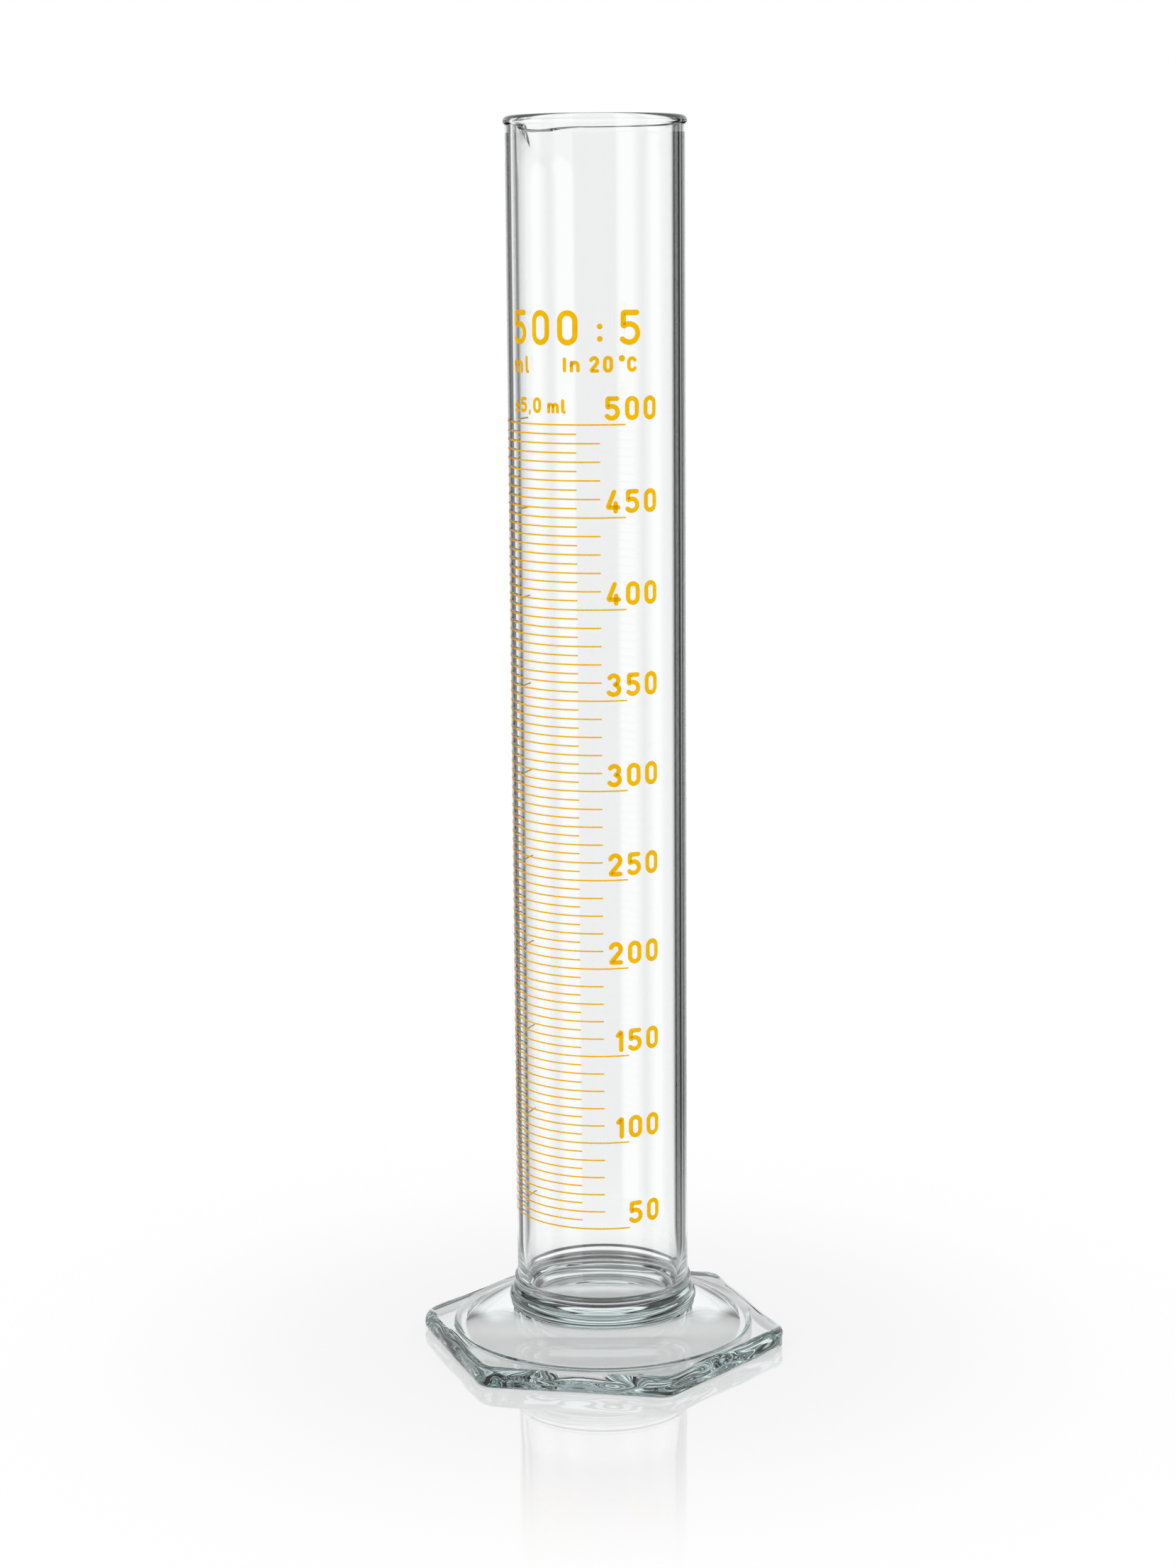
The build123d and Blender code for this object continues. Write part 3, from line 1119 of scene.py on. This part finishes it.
def make_world():
    """White for the camera, plain surfaces and the table's mirror, panels for the glass."""
    world = bpy.data.worlds.new("studio")
    bpy.context.scene.world = world
    world.cycles.sampling_method = "NONE"
    world.use_nodes = True
    tree = world.node_tree
    tree.nodes.clear()
    direction = tree.nodes.new("ShaderNodeTexCoord").outputs["Generated"]
    azimuth, upward = azimuth_of(tree, direction)
    level = panel_level(tree, azimuth, PANELS)
    above = ramp_node(tree, upward, PANEL_TOP_START, PANEL_TOP_END)
    lamp = ramp_node(tree, upward, LAMP_LOW - LAMP_EDGE, LAMP_LOW + LAMP_EDGE, 0.0, LAMP_LEVEL)
    room = math_node(tree, "MAXIMUM", blend_node(tree, above, level, CEILING_LEVEL), lamp)
    path = tree.nodes.new("ShaderNodeLightPath").outputs
    plain = math_node(tree, "MAXIMUM", path["Is Camera Ray"], path["Is Diffuse Ray"])
    outside = math_node(tree, "LESS_THAN", path["Transmission Depth"], OUTSIDE_GLASS)
    rising = math_node(tree, "GREATER_THAN", upward, RISING)
    off_table = math_node(tree, "MULTIPLY", path["Is Glossy Ray"],
                          math_node(tree, "MULTIPLY", outside, rising))
    plain = math_node(tree, "MAXIMUM", plain, off_table)
    light = tree.nodes.new("ShaderNodeBackground")
    light.inputs["Color"].default_value = (1.0, 1.0, 1.0, 1.0)
    tree.links.new(blend_node(tree, plain, room, 1.0), light.inputs["Strength"])
    output = tree.nodes.new("ShaderNodeOutputWorld")
    tree.links.new(light.outputs[0], output.inputs["Surface"])
    return world


world = make_world()
print("world with", len(PANELS), "panels and", len(world.node_tree.nodes), "nodes")

# %% [markdown]
# ## The table
#
# The cylinder stands on polished white acrylic that mirrors it faintly. The mirror is
# strongest near the foot, and the white fades out into the white round it, so no edge
# shows. The sheet lies a hair below the foot, because a ray can't tell which of two faces
# in exactly the same place comes first.
#
# One thing is a stage trick and not how acrylic behaves. For a ray that reaches the table
# through the glass, its white and glow are painted by slant: a painted shade, nearly black,
# where the ray falls steeply, and a painted reflection of white where it skims the table.
# The glass of the foot shows both at once, and that darkens the rings at the bottom of the
# tube. For such rays the table also fades out sooner, between 55 and 100 mm from its
# middle. All other rays see an even white under the faint mirror.

# %% The table's material
TABLE_RADIUS = 0.32
TABLE_FADE_START = 0.09
TABLE_WHITE = 0.26
TABLE_GLOW = 0.74
TABLE_MIRROR = 0.30
MIRROR_FADE_START = 0.055
MIRROR_FADE_END = 0.19
# Painted light through the glass: painted shade where rays fall steeply, fading to a painted
# white reflection where they skim the table.
SLANT_START = 0.38
SLANT_END = 0.56
STEEP_PAINTED_SHADE = 0.02
EVEN_BLEND = 0.5
GLASS_FADE_START = 0.055
GLASS_FADE_END = 0.10
TABLE_FADE_END = TABLE_RADIUS * 0.95
MIRROR_ROUGHNESS = 0.02


def table_material():
    """White acrylic with a faint mirror that fades away from the foot."""
    material = bpy.data.materials.new("white_acrylic")
    material.use_nodes = True
    tree = material.node_tree
    tree.nodes.clear()
    place = tree.nodes.new("ShaderNodeTexCoord").outputs["Object"]
    length = tree.nodes.new("ShaderNodeVectorMath")
    length.operation = "LENGTH"
    tree.links.new(place, length.inputs[0])
    away = length.outputs["Value"]
    slant = tree.nodes.new("ShaderNodeLayerWeight")
    slant.inputs["Blend"].default_value = EVEN_BLEND
    # Painted shade for steep rays through the glass and a painted reflection for skimming ones,
    # scaling the table's white and glow.
    painted_slant_light = ramp_node(tree, slant.outputs["Facing"], SLANT_START, SLANT_END, STEEP_PAINTED_SHADE, 1.0)
    through_glass = tree.nodes.new("ShaderNodeLightPath").outputs["Is Transmission Ray"]
    level = blend_node(tree, through_glass, 1.0, painted_slant_light)
    body = tree.nodes.new("ShaderNodeBsdfDiffuse")
    tree.links.new(math_node(tree, "MULTIPLY", level, TABLE_WHITE), body.inputs["Color"])
    glow = tree.nodes.new("ShaderNodeEmission")
    tree.links.new(math_node(tree, "MULTIPLY", level, TABLE_GLOW), glow.inputs["Strength"])
    white = tree.nodes.new("ShaderNodeAddShader")
    tree.links.new(body.outputs[0], white.inputs[0])
    tree.links.new(glow.outputs[0], white.inputs[1])
    mirror = tree.nodes.new("ShaderNodeBsdfGlossy")
    mirror.inputs["Roughness"].default_value = MIRROR_ROUGHNESS
    polished = tree.nodes.new("ShaderNodeMixShader")
    share = ramp_node(tree, away, MIRROR_FADE_START, MIRROR_FADE_END, TABLE_MIRROR, 0.0)
    tree.links.new(share, polished.inputs[0])
    tree.links.new(white.outputs[0], polished.inputs[1])
    tree.links.new(mirror.outputs[0], polished.inputs[2])
    clear = tree.nodes.new("ShaderNodeBsdfTransparent")
    faded = tree.nodes.new("ShaderNodeMixShader")
    fade = ramp_node(tree, away, TABLE_FADE_START, TABLE_FADE_END)
    glass_fade = ramp_node(tree, away, GLASS_FADE_START, GLASS_FADE_END)
    tree.links.new(blend_node(tree, through_glass, fade, glass_fade), faded.inputs[0])
    tree.links.new(polished.outputs[0], faded.inputs[1])
    tree.links.new(clear.outputs[0], faded.inputs[2])
    output = tree.nodes.new("ShaderNodeOutputMaterial")
    tree.links.new(faded.outputs[0], output.inputs["Surface"])
    return material


# %% [markdown]
# The table itself is only a flat disc.

# %% The table
TABLE_GAP = 0.0001
TABLE_CORNERS = 128

bpy.ops.mesh.primitive_circle_add(vertices=TABLE_CORNERS, radius=TABLE_RADIUS,
                                  fill_type="NGON")
table = bpy.context.object
table.name = "table"
table.location.z = -TABLE_GAP
table.data.materials.append(table_material())
print("table", round(TABLE_RADIUS / MM), "mm in radius")

# %% [markdown]
# ## Bounces and view
#
# Light crosses many faces on its way through the foot, so more bounces than usual are
# allowed before a ray is given up as black. The Standard view keeps white as pure white.

# %% Bounces and view
GLASS_BOUNCES = 24
MIRROR_BOUNCES = 12

scene = bpy.context.scene
scene.view_settings.view_transform = "Standard"
scene.cycles.max_bounces = GLASS_BOUNCES
scene.cycles.transmission_bounces = GLASS_BOUNCES
scene.cycles.glossy_bounces = MIRROR_BOUNCES
print("up to", GLASS_BOUNCES, "bounces in glass")
